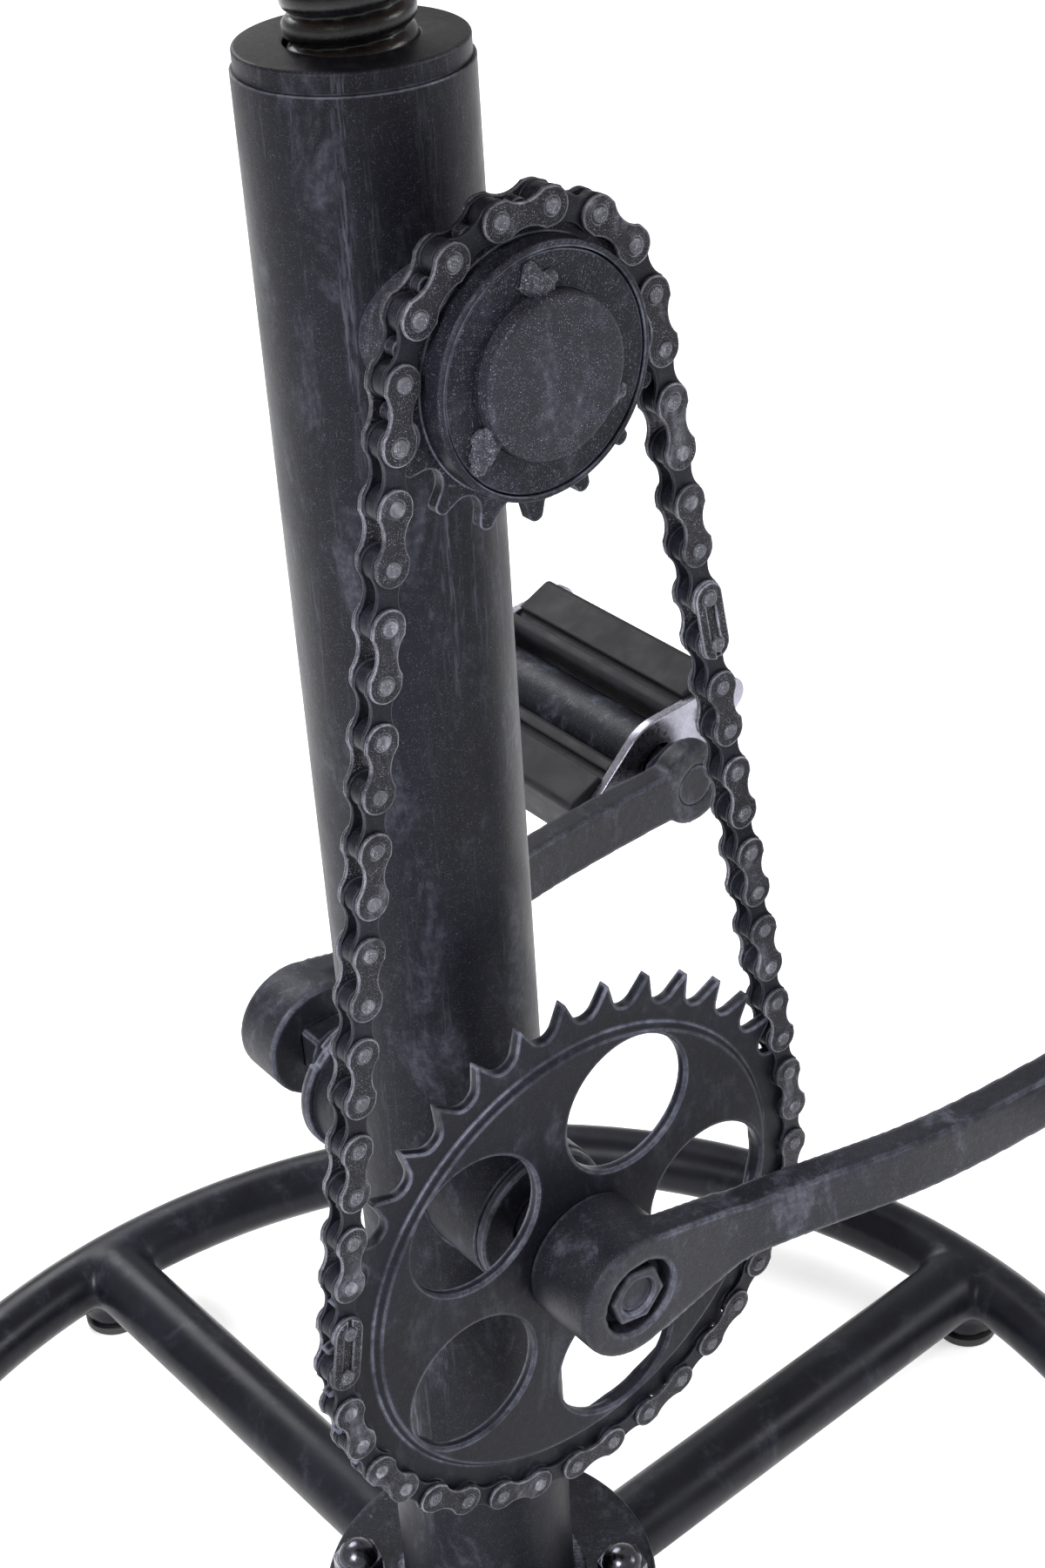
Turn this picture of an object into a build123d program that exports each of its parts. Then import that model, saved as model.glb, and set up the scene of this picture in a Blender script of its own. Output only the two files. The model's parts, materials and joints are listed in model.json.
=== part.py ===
from build123d import *
import math
import os

# Pedal bar stool: a post on a four-spoke ring base, a screw-adjusted round seat, and a bicycle
# drive on the post as a foot rest. Millimetres. +Z up, origin on the floor on the post's axis.
# +X is the way both cranks point, -Y is the chain side.

# ---------------------------------------------------------------- driving dimensions

# Post and seat spindle
post_od = 50.8
post_wall = 2.0
post_top_z = 508.0
collar_r = 24.6
collar_height = 4.6
collar_plug_depth = 40.0
thread_r = 14.0
thread_depth = 1.7
thread_pitch = 6.0
spindle_shown = 92.0
spindle_length = 246.0
spindle_foot_r = 8.0
spindle_foot_length = 18.0
guide_thickness = 11.0
guide_clip_thickness = 2.0
guide_clip_width = 3.0

# Seat
seat_flange_r = 60.0
seat_flange_thickness = 5.0
seat_boss_r = 20.0
seat_boss_height = 16.0
seat_pan_r = 158.0
seat_pan_thickness = 12.0
cushion_r = 172.0
cushion_height = 62.0
cushion_edge_r = 24.0
seat_screw_pcd_r = 46.0
seat_screw_r = 2.5
seat_screw_depth = 8.0

# Base
ring_r = 220.0
ring_tube_r = 11.1
ring_height = 25.0
spoke_r = 12.0
hub_r = 30.0
hub_bore_r = 20.0
base_turn_deg = 2.3
plate_r = 50.0
plate_thickness = 5.0
bolt_pcd_r = 40.0
bolt_r = 4.0
bolt_hole_gap = 0.2
nut_across_flats = 13.0
bolt_head_height = 5.3
washer_r = 8.0
washer_thickness = 1.6
cap_nut_hex_height = 6.5
cap_nut_dome_r = 6.2
foot_stub_r = 10.5
glide_height = 4.0
glide_r = 10.8

# Chain drive
pitch = 12.7
ring_teeth = 36
freewheel_teeth = 16
ring_pins = 20
freewheel_pins = 8
strand_pitches = 19
crank_height = 219.0
chain_mid_y = -51.5
roller_r = 3.85
bushing_r = 2.45
pin_r = 1.8
plate_end_r = 4.1
plate_waist = 2.6
plate_waist_cut_r = 7.5
chain_plate_t = 1.0
chain_inner_half = 1.7
chain_outer_gap = 0.1
pin_half = 4.4
clip_t = 0.7
clip_window = 2.6
clip_pin_extra = 0.9
clip_pins = (13, 45)
tooth_gap_r = 4.05
ring_tooth_thickness = 3.0
freewheel_tooth_thickness = 2.8
ring_flank_deg = 29.0
freewheel_flank_deg = 26.0
ring_tooth_height = 3.4
freewheel_tooth_height = 1.4
ring_tooth_crown = 0.2
freewheel_tooth_crown = 0.8

# Chainring
ring_disc_r = 63.5
ring_step = 1.8
ring_step_bevel = 1.5
ring_hole_r = 19.0
ring_hole_pcd_r = 42.0
ring_hole_phase_deg = 67.0
ring_hole_count = 5
ring_hole_chamfer = 0.5

# Freewheel
stub_r = 17.4
stub_end_y = -62.8
stub_edge_r = 1.2
tack_r = 3.2
tack_angles_deg = (92.0, 212.0, 330.0)
freewheel_back_y = -45.0
freewheel_front_y = -59.2
freewheel_rim_r = 27.0
cone_r = 25.3
cone_thickness = 3.2
freewheel_inner_r = 21.0
freewheel_race_r = 24.4
freewheel_ball_r = 1.5
freewheel_ball_count = 18
pawl_size = (7.0, 2.6, 2.2)

# Bottom bracket and cranks
spigot_r = 12.0
shell_r = 20.0
shell_bore_r = 17.0
shell_half = 36.0
cup_lip = 3.0
cup_depth = 13.0
cup_bore_r = 9.4
race_r = 14.9
axle_r = 8.5
axle_square = 12.7
axle_square_length = 17.0
axle_stud_r = 5.0
axle_stud_length = 5.0
bracket_ball_r = 2.9
bracket_ball_count = 9
bracket_ball_y = 30.0
lock_ring_r = 22.0
lock_ring_thickness = 3.0
boss_r = 17.3
boss_end_y = 77.0
rear_boss_start_y = 60.0
boss_recess_r = 10.6
boss_recess_depth = 7.0
axle_nut_flats = 14.5
axle_nut_thickness = 5.0
axle_washer_thickness = 1.2
crank_length = 165.0
arm_half_height = 8.8
arm_thickness = 8.8
# How far the arm's outer face stands out from the boss's end, at distances from the axle
arm_bow_line = ((28.0, 0.0), (57.0, 5.6), (82.0, 11.8), (112.0, 16.0), (165.0, 19.0))
arm_taper_end_x = 36.0
eye_r = 13.6
boss_chamfer = 0.9

# Pedals
pedal_thread_r = 7.1
pedal_collar_r = 9.2
pedal_collar_length = 6.0
pedal_shaft_r = 5.5
pedal_start_gap = 2.0
pedal_width = 92.0
pedal_plate_t = 3.5
pedal_plate_half = 40.0
pedal_plate_height = 17.5
pedal_plate_tip_r = 6.0
barrel_r = 11.0
barrel_bore_r = 9.0
pedal_ball_r = 1.55
pedal_ball_count = 11
tread_inner = 11.5
tread_outer = 34.5
tread_half_thickness = 13.0
tread_edge_r = 2.5
groove_width = 3.0
groove_depth = 2.4
groove_offset = 6.5
tread_bolt_r = 2.5
tread_bolt_x = 24.0
tread_nut_flats = 8.0
tread_nut_height = 3.5
dust_cap_length = 5.0
front_pedal_tilt_deg = 14.0
rear_pedal_tilt_deg = 24.0

# Clearances
fit_gap = 0.05
running_gap = 0.3
thread_gap = 0.1

# ---------------------------------------------------------------- derived sizes

post_r = post_od / 2
post_bore_r = post_r - post_wall
plate_bottom_z = ring_height + spoke_r + 0.7
flange_bottom_z = plate_bottom_z + plate_thickness
flange_top_z = flange_bottom_z + plate_thickness
stub_bottom_z = glide_height
ring_pitch_r = pitch / (2 * math.sin(math.pi / ring_teeth))
freewheel_pitch_r = pitch / (2 * math.sin(math.pi / freewheel_teeth))
ring_tip_r = ring_pitch_r + ring_tooth_height
freewheel_tip_r = freewheel_pitch_r + freewheel_tooth_height
# A pin of each sprocket ends its wrap this far above the sprocket's own centre line
ring_last_deg = (ring_pins - 1) * 180 / ring_teeth - 90
freewheel_last_deg = 90 - (freewheel_pins - 1) * 180 / freewheel_teeth
strand_dx = (ring_pitch_r * math.cos(math.radians(ring_last_deg))
             - freewheel_pitch_r * math.cos(math.radians(freewheel_last_deg)))
strand_dz = math.sqrt((strand_pitches * pitch) ** 2 - strand_dx ** 2)
freewheel_height = (crank_height + strand_dz
                    + ring_pitch_r * math.sin(math.radians(ring_last_deg))
                    - freewheel_pitch_r * math.sin(math.radians(freewheel_last_deg)))
ring_front_y = chain_mid_y - ring_tooth_thickness / 2 - ring_step
ring_back_y = chain_mid_y + ring_tooth_thickness / 2
arm_outer_y = boss_end_y + arm_bow_line[-1][1]
pedal_start_y = arm_outer_y + pedal_collar_length + pedal_start_gap
pedal_end_y = pedal_start_y + pedal_width
spindle_top_z = post_top_z + spindle_shown
spindle_bottom_z = spindle_top_z - spindle_length
cushion_bottom_z = spindle_top_z + seat_flange_thickness + seat_pan_thickness

os.makedirs("parts", exist_ok=True)


# ---------------------------------------------------------------- helpers

def save(name, solids):
    """Write one node: a single solid, or a group of separate solids."""
    if isinstance(solids, (list, tuple)):
        flat = [solid for item in solids for solid in item.solids()]
        shape = Compound(children=flat)
    else:
        shape = solids
    export_step(shape, f"parts/{name}.step")


def bar_z(radius, low, high, x=0.0, y=0.0):
    """Cylinder along Z between two heights."""
    return Pos(x, y, (low + high) / 2) * Cylinder(radius, high - low)


def tube_z(outer, inner, low, high, x=0.0, y=0.0):
    return bar_z(outer, low, high, x, y) - bar_z(inner, low - 1, high + 1, x, y)


def bar_y(radius, y0, y1, x=0.0, z=0.0):
    """Cylinder along Y between two stations."""
    return Pos(x, (y0 + y1) / 2, z) * Rot(90, 0, 0) * Cylinder(radius, abs(y1 - y0))


def tube_y(outer, inner, y0, y1, x=0.0, z=0.0):
    low, high = min(y0, y1), max(y0, y1)
    return bar_y(outer, y0, y1, x, z) - bar_y(inner, low - 1, high + 1, x, z)


def hex_y(flats, y0, y1, x=0.0, z=0.0, turn=0.0):
    """Hexagonal prism along Y."""
    prism = extrude(RegularPolygon(flats / 2, 6, major_radius=False), abs(y1 - y0) / 2, both=True)
    return Pos(x, (y0 + y1) / 2, z) * Rot(0, turn, 0) * Rot(90, 0, 0) * prism


def hex_z(flats, low, high, x=0.0, y=0.0):
    prism = extrude(RegularPolygon(flats / 2, 6, major_radius=False), (high - low) / 2, both=True)
    return Pos(x, y, (low + high) / 2) * prism


def slab_y(face, y0, y1):
    """Extrude a face drawn as (x, z) between two stations along Y."""
    depth = abs(y1 - y0)
    return Pos(0, max(y0, y1), 0) * Rot(90, 0, 0) * extrude(face, depth)


def polar(radius, degrees):
    return radius * math.cos(math.radians(degrees)), radius * math.sin(math.radians(degrees))


def ring_of(shape, count, start_deg=0.0):
    """Copies of a shape turned about the Z axis."""
    return [Rot(0, 0, start_deg + k * 360 / count) * shape for k in range(count)]


def mirrored_y(shape):
    return mirror(shape, about=Plane.XZ)


# ---------------------------------------------------------------- base

def make_base():
    ring = Pos(0, 0, ring_height) * Torus(ring_r, ring_tube_r)
    spoke_end = ring_r - 4
    spoke = Pos(spoke_end / 2, 0, ring_height) * Rot(0, 90, 0) * Cylinder(spoke_r, spoke_end)
    spoke = spoke - bar_z(hub_r, 0, 2 * ring_height) - ring
    save("base_ring", ring)
    for name, turn in (("front", 0), ("rear", 180), ("left", 270), ("right", 90)):
        save(f"base_spoke_{name}", Rot(0, 0, turn + base_turn_deg) * spoke)
    save("base_hub", tube_z(hub_r, hub_bore_r, ring_height - spoke_r, plate_bottom_z))

    stub = bar_z(foot_stub_r, stub_bottom_z, ring_height - 4, ring_r) - ring - spoke
    save("foot_stubs", ring_of(stub, 4, base_turn_deg))
    glide = bar_z(glide_r, 0, glide_height, ring_r)
    glide = fillet(glide.edges().group_by(Axis.Z)[0], 1.6)
    save("floor_glides", ring_of(glide, 4, base_turn_deg))


def make_flange_joint():
    hole = bar_z(bolt_r + bolt_hole_gap, plate_bottom_z - 1, flange_top_z + 1, bolt_pcd_r)
    bolt_turn = 45 + base_turn_deg
    holes = ring_of(hole, 4, bolt_turn)
    hub_plate = bar_z(plate_r, plate_bottom_z, flange_bottom_z)
    flange = tube_z(plate_r, post_r + fit_gap, flange_bottom_z, flange_top_z)
    for drill in holes:
        hub_plate -= drill
        flange -= drill
    flange = chamfer(flange.edges().group_by(Axis.Z)[-1].sort_by(SortBy.LENGTH)[-1], 0.8)
    save("hub_plate", hub_plate)
    save("post_flange", flange)

    washer_top = flange_top_z + washer_thickness
    thread_top = washer_top + cap_nut_hex_height
    bolt = bar_z(bolt_r, plate_bottom_z, thread_top, bolt_pcd_r)
    bolt += hex_z(nut_across_flats, plate_bottom_z - bolt_head_height, plate_bottom_z, bolt_pcd_r)
    washer = tube_z(washer_r, bolt_r + bolt_hole_gap, flange_top_z, washer_top, bolt_pcd_r)
    nut = hex_z(nut_across_flats, washer_top, washer_top + cap_nut_hex_height, bolt_pcd_r)
    dome = Pos(bolt_pcd_r, 0, washer_top + cap_nut_hex_height - 1) * Sphere(cap_nut_dome_r)
    nut = nut + (dome & bar_z(plate_r, washer_top + 1, washer_top + 30, bolt_pcd_r))
    nut -= bar_z(bolt_r + fit_gap, washer_top - 1, thread_top + 0.5, bolt_pcd_r)
    save("flange_bolts", ring_of(bolt, 4, bolt_turn))
    save("flange_washers", ring_of(washer, 4, bolt_turn))
    save("cap_nuts", ring_of(nut, 4, bolt_turn))


# ---------------------------------------------------------------- post and seat

def make_post():
    tube = tube_z(post_r, post_bore_r, flange_bottom_z, post_top_z)
    tube -= bar_y(shell_r + fit_gap, -post_r - 1, post_r + 1, 0, crank_height)
    save("post_tube", tube)

    collar = bar_z(collar_r, post_top_z, post_top_z + collar_height)
    collar = fillet(collar.edges().group_by(Axis.Z)[-1], 0.6)
    collar += bar_z(post_bore_r - fit_gap, post_top_z - collar_plug_depth, post_top_z)
    collar -= bar_z(thread_r + thread_gap, post_top_z - 100, post_top_z + 50)
    save("post_nut", collar)


def threaded_profile(low, high):
    """Half section of a round-threaded bar, as rings one pitch apart over a plain neck."""
    count = int((high - low - 2) // thread_pitch)
    root_r = thread_r - thread_depth
    points_z = [high - k * thread_pitch for k in range(count + 1)]
    edges = [Line((0, high), (root_r, high))]
    for top, bottom in zip(points_z, points_z[1:]):
        edges.append(ThreePointArc((root_r, top), (thread_r, (top + bottom) / 2), (root_r, bottom)))
    last = points_z[-1]
    edges.append(Line((root_r, last), (root_r, low)))
    edges.append(Line((root_r, low), (0, low)))
    edges.append(Line((0, low), (0, high)))
    return make_face(edges)


def make_seat():
    foot_top = spindle_bottom_z + spindle_foot_length
    profile = Rot(90, 0, 0) * threaded_profile(foot_top, spindle_top_z)
    spindle = revolve(profile, Axis.Z)
    spindle += bar_z(spindle_foot_r, spindle_bottom_z, foot_top)
    save("seat_spindle", spindle)

    guide_top = foot_top - running_gap
    guide_bottom = guide_top - guide_thickness
    guide_outer = post_bore_r - running_gap
    guide_inner = spindle_foot_r + running_gap
    save("spindle_guide", tube_z(guide_outer, guide_inner, guide_bottom, guide_top))
    clip_top = guide_bottom - running_gap
    clip_bottom = clip_top - guide_clip_thickness
    clip_inner = spindle_foot_r + fit_gap
    clip = tube_z(clip_inner + guide_clip_width, clip_inner, clip_bottom, clip_top)
    clip -= Pos(clip_inner + 2, 0, clip_bottom) * Box(8, 5, 10)
    save("guide_clip", clip)

    flange_top = spindle_top_z + seat_flange_thickness
    flange = bar_z(seat_flange_r, spindle_top_z, flange_top)
    boss = tube_z(seat_boss_r, thread_r + fit_gap, spindle_top_z - seat_boss_height, spindle_top_z)
    screw_hole = bar_z(seat_screw_r + fit_gap, spindle_top_z - 5, flange_top + seat_screw_depth,
                       seat_screw_pcd_r)
    flange += boss
    pan = bar_z(seat_pan_r, flange_top, cushion_bottom_z)
    pan = fillet(pan.edges().group_by(Axis.Z)[0], 3)
    for drill in ring_of(screw_hole, 4, 45):
        flange -= drill
        pan -= drill
    save("seat_flange", flange)
    save("seat_pan", pan)
    shank = bar_z(seat_screw_r, spindle_top_z, flange_top + seat_screw_depth, seat_screw_pcd_r)
    head = bar_z(2 * seat_screw_r, spindle_top_z - 2.6, spindle_top_z, seat_screw_pcd_r)
    head = fillet(head.edges().group_by(Axis.Z)[0], 1.2)
    save("seat_screws", ring_of(shank + head, 4, 45))

    cushion = bar_z(cushion_r, cushion_bottom_z, cushion_bottom_z + cushion_height)
    cushion = fillet(cushion.edges().group_by(Axis.Z)[-1], cushion_edge_r)
    cushion = fillet(cushion.edges().group_by(Axis.Z)[0], cushion_edge_r / 4)
    save("seat_cushion", cushion)


# ---------------------------------------------------------------- sprockets

def sprocket_face(teeth, pitch_r, tip_r, crown, flank_deg):
    """Outline of a sprocket as (x, z): round gaps, straight flanks and crowned tips."""
    flank = math.radians(flank_deg)
    reach = math.sqrt(tip_r ** 2 - pitch_r ** 2)
    seat_t = tooth_gap_r * math.cos(flank)
    seat_n = -tooth_gap_r * math.sin(flank)
    # Where the flank leaves the tip circle
    a = 1.0
    b = 2 * ((pitch_r + seat_n) * math.cos(flank) + seat_t * math.sin(flank))
    c = (pitch_r + seat_n) ** 2 + seat_t ** 2 - tip_r ** 2
    run = (-b + math.sqrt(b * b - 4 * a * c)) / (2 * a)
    assert run < reach
    tip_n = pitch_r + seat_n + run * math.cos(flank)
    tip_t = seat_t + run * math.sin(flank)

    def place(n, t, angle):
        cos_a, sin_a = math.cos(angle), math.sin(angle)
        return (n * cos_a - t * sin_a, n * sin_a + t * cos_a)

    edges = []
    step = 2 * math.pi / teeth
    for k in range(teeth):
        # A gap, not a tooth, sits half a step either side of straight down
        angle = -math.pi / 2 + (k + 0.5) * step
        start = place(tip_n, -tip_t, angle)
        seat_a = place(pitch_r + seat_n, -seat_t, angle)
        bottom = place(pitch_r - tooth_gap_r, 0, angle)
        seat_b = place(pitch_r + seat_n, seat_t, angle)
        end = place(tip_n, tip_t, angle)
        top = place(tip_r + crown, 0, angle + step / 2)
        following = place(tip_n, -tip_t, angle + step)
        edges += [Line(start, seat_a), ThreePointArc(seat_a, bottom, seat_b), Line(seat_b, end),
                  ThreePointArc(end, top, following)]
    return make_face(edges)


def make_chainring():
    face = sprocket_face(ring_teeth, ring_pitch_r, ring_tip_r, ring_tooth_crown, ring_flank_deg)
    toothed = slab_y(face, chain_mid_y - ring_tooth_thickness / 2, ring_back_y)
    disc = bar_y(ring_disc_r, ring_front_y, ring_back_y)
    disc = chamfer(disc.edges().group_by(Axis.Y)[0], ring_step_bevel)
    plate = toothed + disc
    plate -= bar_y(ring_disc_r - 3, ring_back_y - ring_step, ring_back_y + 1)
    for k in range(ring_hole_count):
        x, z = polar(ring_hole_pcd_r, ring_hole_phase_deg + k * 360 / ring_hole_count)
        plate -= bar_y(ring_hole_r, ring_front_y - 1, ring_back_y + 1, x, z)
        cone = Rot(90, 0, 0) * Cone(ring_hole_r, ring_hole_r + 2 * ring_hole_chamfer,
                                    2 * ring_hole_chamfer)
        plate -= Pos(x, ring_front_y, z) * cone
    plate -= bar_y(spigot_r + fit_gap, ring_front_y - 1, ring_back_y + 1)
    save("chainring", Pos(0, 0, crank_height) * plate)


def make_freewheel():
    height = freewheel_height
    face = sprocket_face(freewheel_teeth, freewheel_pitch_r, freewheel_tip_r,
                         freewheel_tooth_crown, freewheel_flank_deg)
    toothed = slab_y(face, chain_mid_y - freewheel_tooth_thickness / 2,
                     chain_mid_y + freewheel_tooth_thickness / 2)
    body = bar_y(freewheel_rim_r, freewheel_front_y, freewheel_back_y)
    body = fillet(body.edges().group_by(Axis.Y)[0], 0.7)
    body = body + toothed
    cone_back = freewheel_front_y + 0.4 + cone_thickness
    body -= bar_y(freewheel_race_r, freewheel_front_y - 1, freewheel_back_y + 1)
    body -= bar_y(cone_r + running_gap, freewheel_front_y - 1, cone_back + running_gap)
    save("freewheel_sprocket", Pos(0, 0, height) * body)

    stub_ring_r = stub_r + fit_gap
    cone = tube_y(cone_r, stub_ring_r, freewheel_front_y + 0.4, cone_back, 0, height)
    inner = tube_y(freewheel_inner_r, stub_ring_r, cone_back, freewheel_back_y + 0.5, 0, height)
    save("freewheel_cone", cone)
    mid_y = (cone_back + freewheel_back_y) / 2
    pawl = Box(pawl_size[0], pawl_size[1], pawl_size[2])
    seats = [Pos(0, mid_y, height) * Rot(0, turn, 0) * Pos(0, 0, freewheel_inner_r) * pawl
             for turn in (20, 200)]
    for seat in seats:
        inner -= seat
    save("freewheel_inner", inner)
    save("freewheel_pawls", seats)
    ball_r = (freewheel_inner_r + freewheel_race_r) / 2
    balls = []
    for y in (cone_back + 2.2, freewheel_back_y - 1.8):
        for k in range(freewheel_ball_count):
            x, z = polar(ball_r, (k + 0.5) * 360 / freewheel_ball_count)
            balls.append(Pos(x, y, height + z) * Sphere(freewheel_ball_r))
    save("freewheel_balls", balls)

    stub = bar_y(stub_r, stub_end_y, 0, 0, height)
    stub = fillet(stub.edges().group_by(Axis.Y)[0], stub_edge_r)
    stub -= bar_z(post_r, height - 60, height + 60)
    save("stub_axle", stub)
    face_y = freewheel_front_y + 0.4
    tacks = []
    keep = bar_y(cone_r, face_y, face_y - 20, 0, height) - bar_y(stub_r, 0, -90, 0, height)
    for angle in tack_angles_deg:
        x, z = polar(stub_r + 1.2, angle)
        tacks.append((Pos(x, face_y, height + z) * Sphere(tack_r)) & keep)
    save("tack_welds", tacks)


# ---------------------------------------------------------------- chain

def chain_pins():
    """Centres of the 64 chain pins as (x, z), clockwise from the freewheel's left pin."""
    pins = []
    step = 360 / freewheel_teeth
    for k in range(freewheel_pins):
        x, z = polar(freewheel_pitch_r, 180 - freewheel_last_deg - k * step)
        pins.append((x, freewheel_height + z))
    ring_right = polar(ring_pitch_r, ring_last_deg)
    ring_right = (ring_right[0], crank_height + ring_right[1])
    start = pins[-1]
    for k in range(1, strand_pitches):
        t = k / strand_pitches
        pins.append((start[0] + t * (ring_right[0] - start[0]),
                     start[1] + t * (ring_right[1] - start[1])))
    for k in range(ring_pins):
        x, z = polar(ring_pitch_r, ring_last_deg - k * 360 / ring_teeth)
        pins.append((x, crank_height + z))
    for x, z in reversed(pins[freewheel_pins:freewheel_pins + strand_pitches - 1]):
        pins.append((-x, z))
    return pins


def link_place(first, second):
    """Location that puts a link drawn along X, in the XZ plane, between two pins."""
    middle_x = (first[0] + second[0]) / 2
    middle_z = (first[1] + second[1]) / 2
    angle = math.degrees(math.atan2(second[1] - first[1], second[0] - first[0]))
    return Pos(middle_x, chain_mid_y, middle_z) * Rot(0, -angle, 0)


def plate_face(hole_r):
    """Waisted link plate, drawn as (x, z), with two pin holes."""
    half = pitch / 2
    face = Rectangle(pitch, 2 * plate_end_r)
    face += Pos(half, 0) * Circle(plate_end_r)
    face += Pos(-half, 0) * Circle(plate_end_r)
    for side in (1, -1):
        face -= Pos(0, side * (plate_waist + plate_waist_cut_r)) * Circle(plate_waist_cut_r)
        face -= Pos(side * half, 0) * Circle(hole_r)
    return face


def make_chain():
    pins = chain_pins()
    count = len(pins)
    inner_face = plate_face(bushing_r + fit_gap / 2)
    outer_face = plate_face(pin_r + fit_gap / 2)
    inner_y = chain_inner_half
    outer_y = chain_inner_half + chain_plate_t + chain_outer_gap
    inner_pair = [slab_y(inner_face, side * inner_y, side * (inner_y + chain_plate_t))
                  for side in (1, -1)]
    outer_pair = [slab_y(outer_face, side * outer_y, side * (outer_y + chain_plate_t))
                  for side in (1, -1)]
    inner_plates, outer_plates, clips = [], [], []
    for k in range(count):
        place = link_place(pins[k], pins[(k + 1) % count])
        if k % 2:
            outer_plates += [place * plate for plate in outer_pair]
        else:
            inner_plates += [place * plate for plate in inner_pair]
    save("chain_outer_plates", outer_plates)
    save("chain_inner_plates", inner_plates)

    bush_outer = bushing_r
    bush_inner = pin_r + fit_gap
    roller = tube_y(roller_r, bush_outer + fit_gap, -chain_inner_half + 0.1, chain_inner_half - 0.1)
    bushing = tube_y(bush_outer, bush_inner, -inner_y - chain_plate_t, inner_y + chain_plate_t)
    pin = bar_y(pin_r, -pin_half, pin_half)
    places = [Pos(x, chain_mid_y, z) for x, z in pins]
    save("chain_rollers", [place * roller for place in places])
    save("chain_bushings", [place * bushing for place in places])
    long_pin = bar_y(pin_r, -pin_half - clip_pin_extra, pin_half)
    clipped = [k + step for k in clip_pins for step in (0, 1)]
    save("chain_pins", [place * (long_pin if k in clipped else pin)
                        for k, place in enumerate(places)])

    clip = SlotCenterToCenter(pitch, 2 * plate_end_r - 0.6) - Rectangle(pitch, clip_window)
    for side in (1, -1):
        clip -= Pos(side * pitch / 2, 0) * Circle(pin_r + fit_gap)
    clip_y = -outer_y - chain_plate_t
    clip_solid = slab_y(clip, clip_y, clip_y - clip_t)
    clip_solid -= Pos(pitch / 2 + plate_end_r, clip_y, 0) * Box(5, 4, 1.2)
    for k in clip_pins:
        clips.append(link_place(pins[k], pins[k + 1]) * clip_solid)
    save("chain_clips", clips)


# ---------------------------------------------------------------- bottom bracket and cranks

def make_bracket():
    height = crank_height
    save("bracket_shell", tube_y(shell_r, shell_bore_r, -shell_half, shell_half, 0, height))
    cup_in = shell_half - cup_depth
    cup = bar_y(shell_bore_r - fit_gap, cup_in, shell_half) + bar_y(
        shell_r - 0.5, shell_half, shell_half + cup_lip)
    cup -= bar_y(cup_bore_r, cup_in - 1, shell_half + cup_lip + 1)
    cup -= bar_y(race_r, cup_in - 1, bracket_ball_y + bracket_ball_r + running_gap)
    rear_cup = Pos(0, 0, height) * cup
    save("bracket_cups", [rear_cup, mirrored_y(rear_cup)])
    lock_start = shell_half
    lock = tube_y(lock_ring_r, shell_r - 0.5 + fit_gap, lock_start, lock_start + lock_ring_thickness)
    for k in range(4):
        lock -= Rot(0, 90 * k + 45, 0) * Pos(lock_ring_r, lock_start, 0) * Box(3, 20, 5)
    save("bracket_lock_ring", Pos(0, 0, height) * lock)
    balls = []
    track_r = (axle_r + race_r) / 2
    for y in (-bracket_ball_y, bracket_ball_y):
        for k in range(bracket_ball_count):
            x, z = polar(track_r, k * 360 / bracket_ball_count)
            balls.append(Pos(x, y, height + z) * Sphere(bracket_ball_r))
    save("bracket_balls", balls)

    square_end = boss_end_y - boss_recess_depth
    square_start = square_end - axle_square_length
    axle = bar_y(axle_r, -square_start, square_start)
    axle += Box(axle_square, 2 * square_end - 2, axle_square)
    axle &= bar_y(axle_r, -square_end, square_end)
    stud_end = square_end + axle_stud_length
    axle += bar_y(axle_stud_r, -stud_end, stud_end)
    save("crank_axle", Pos(0, 0, height) * axle)
    washers, nuts = [], []
    for side in (-1, 1):
        inner = side * square_end
        outer = side * (square_end + axle_washer_thickness)
        washers.append(tube_y(boss_recess_r - 0.4, axle_stud_r + fit_gap, inner, outer, 0, height))
        nut = hex_y(axle_nut_flats, outer, outer + side * axle_nut_thickness, 0, height, 12)
        nut -= bar_y(axle_stud_r + fit_gap, -100, 100, 0, height)
        nuts.append(nut)
    save("axle_washers", washers)
    save("axle_nuts", nuts)


def arm_outline():
    """Side view of a crank as (x, z): boss, tapered root, straight arm and eye."""
    root_x, root_z = polar(boss_r, 68)
    half = arm_half_height
    points = [(root_x, root_z), (arm_taper_end_x, half), (crank_length, half),
              (crank_length, -half), (arm_taper_end_x, -half), (root_x, -root_z)]
    arm = make_face(Polyline(*points, close=True))
    return arm + Circle(boss_r - boss_chamfer) + Pos(crank_length, 0) * Circle(eye_r)


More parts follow.
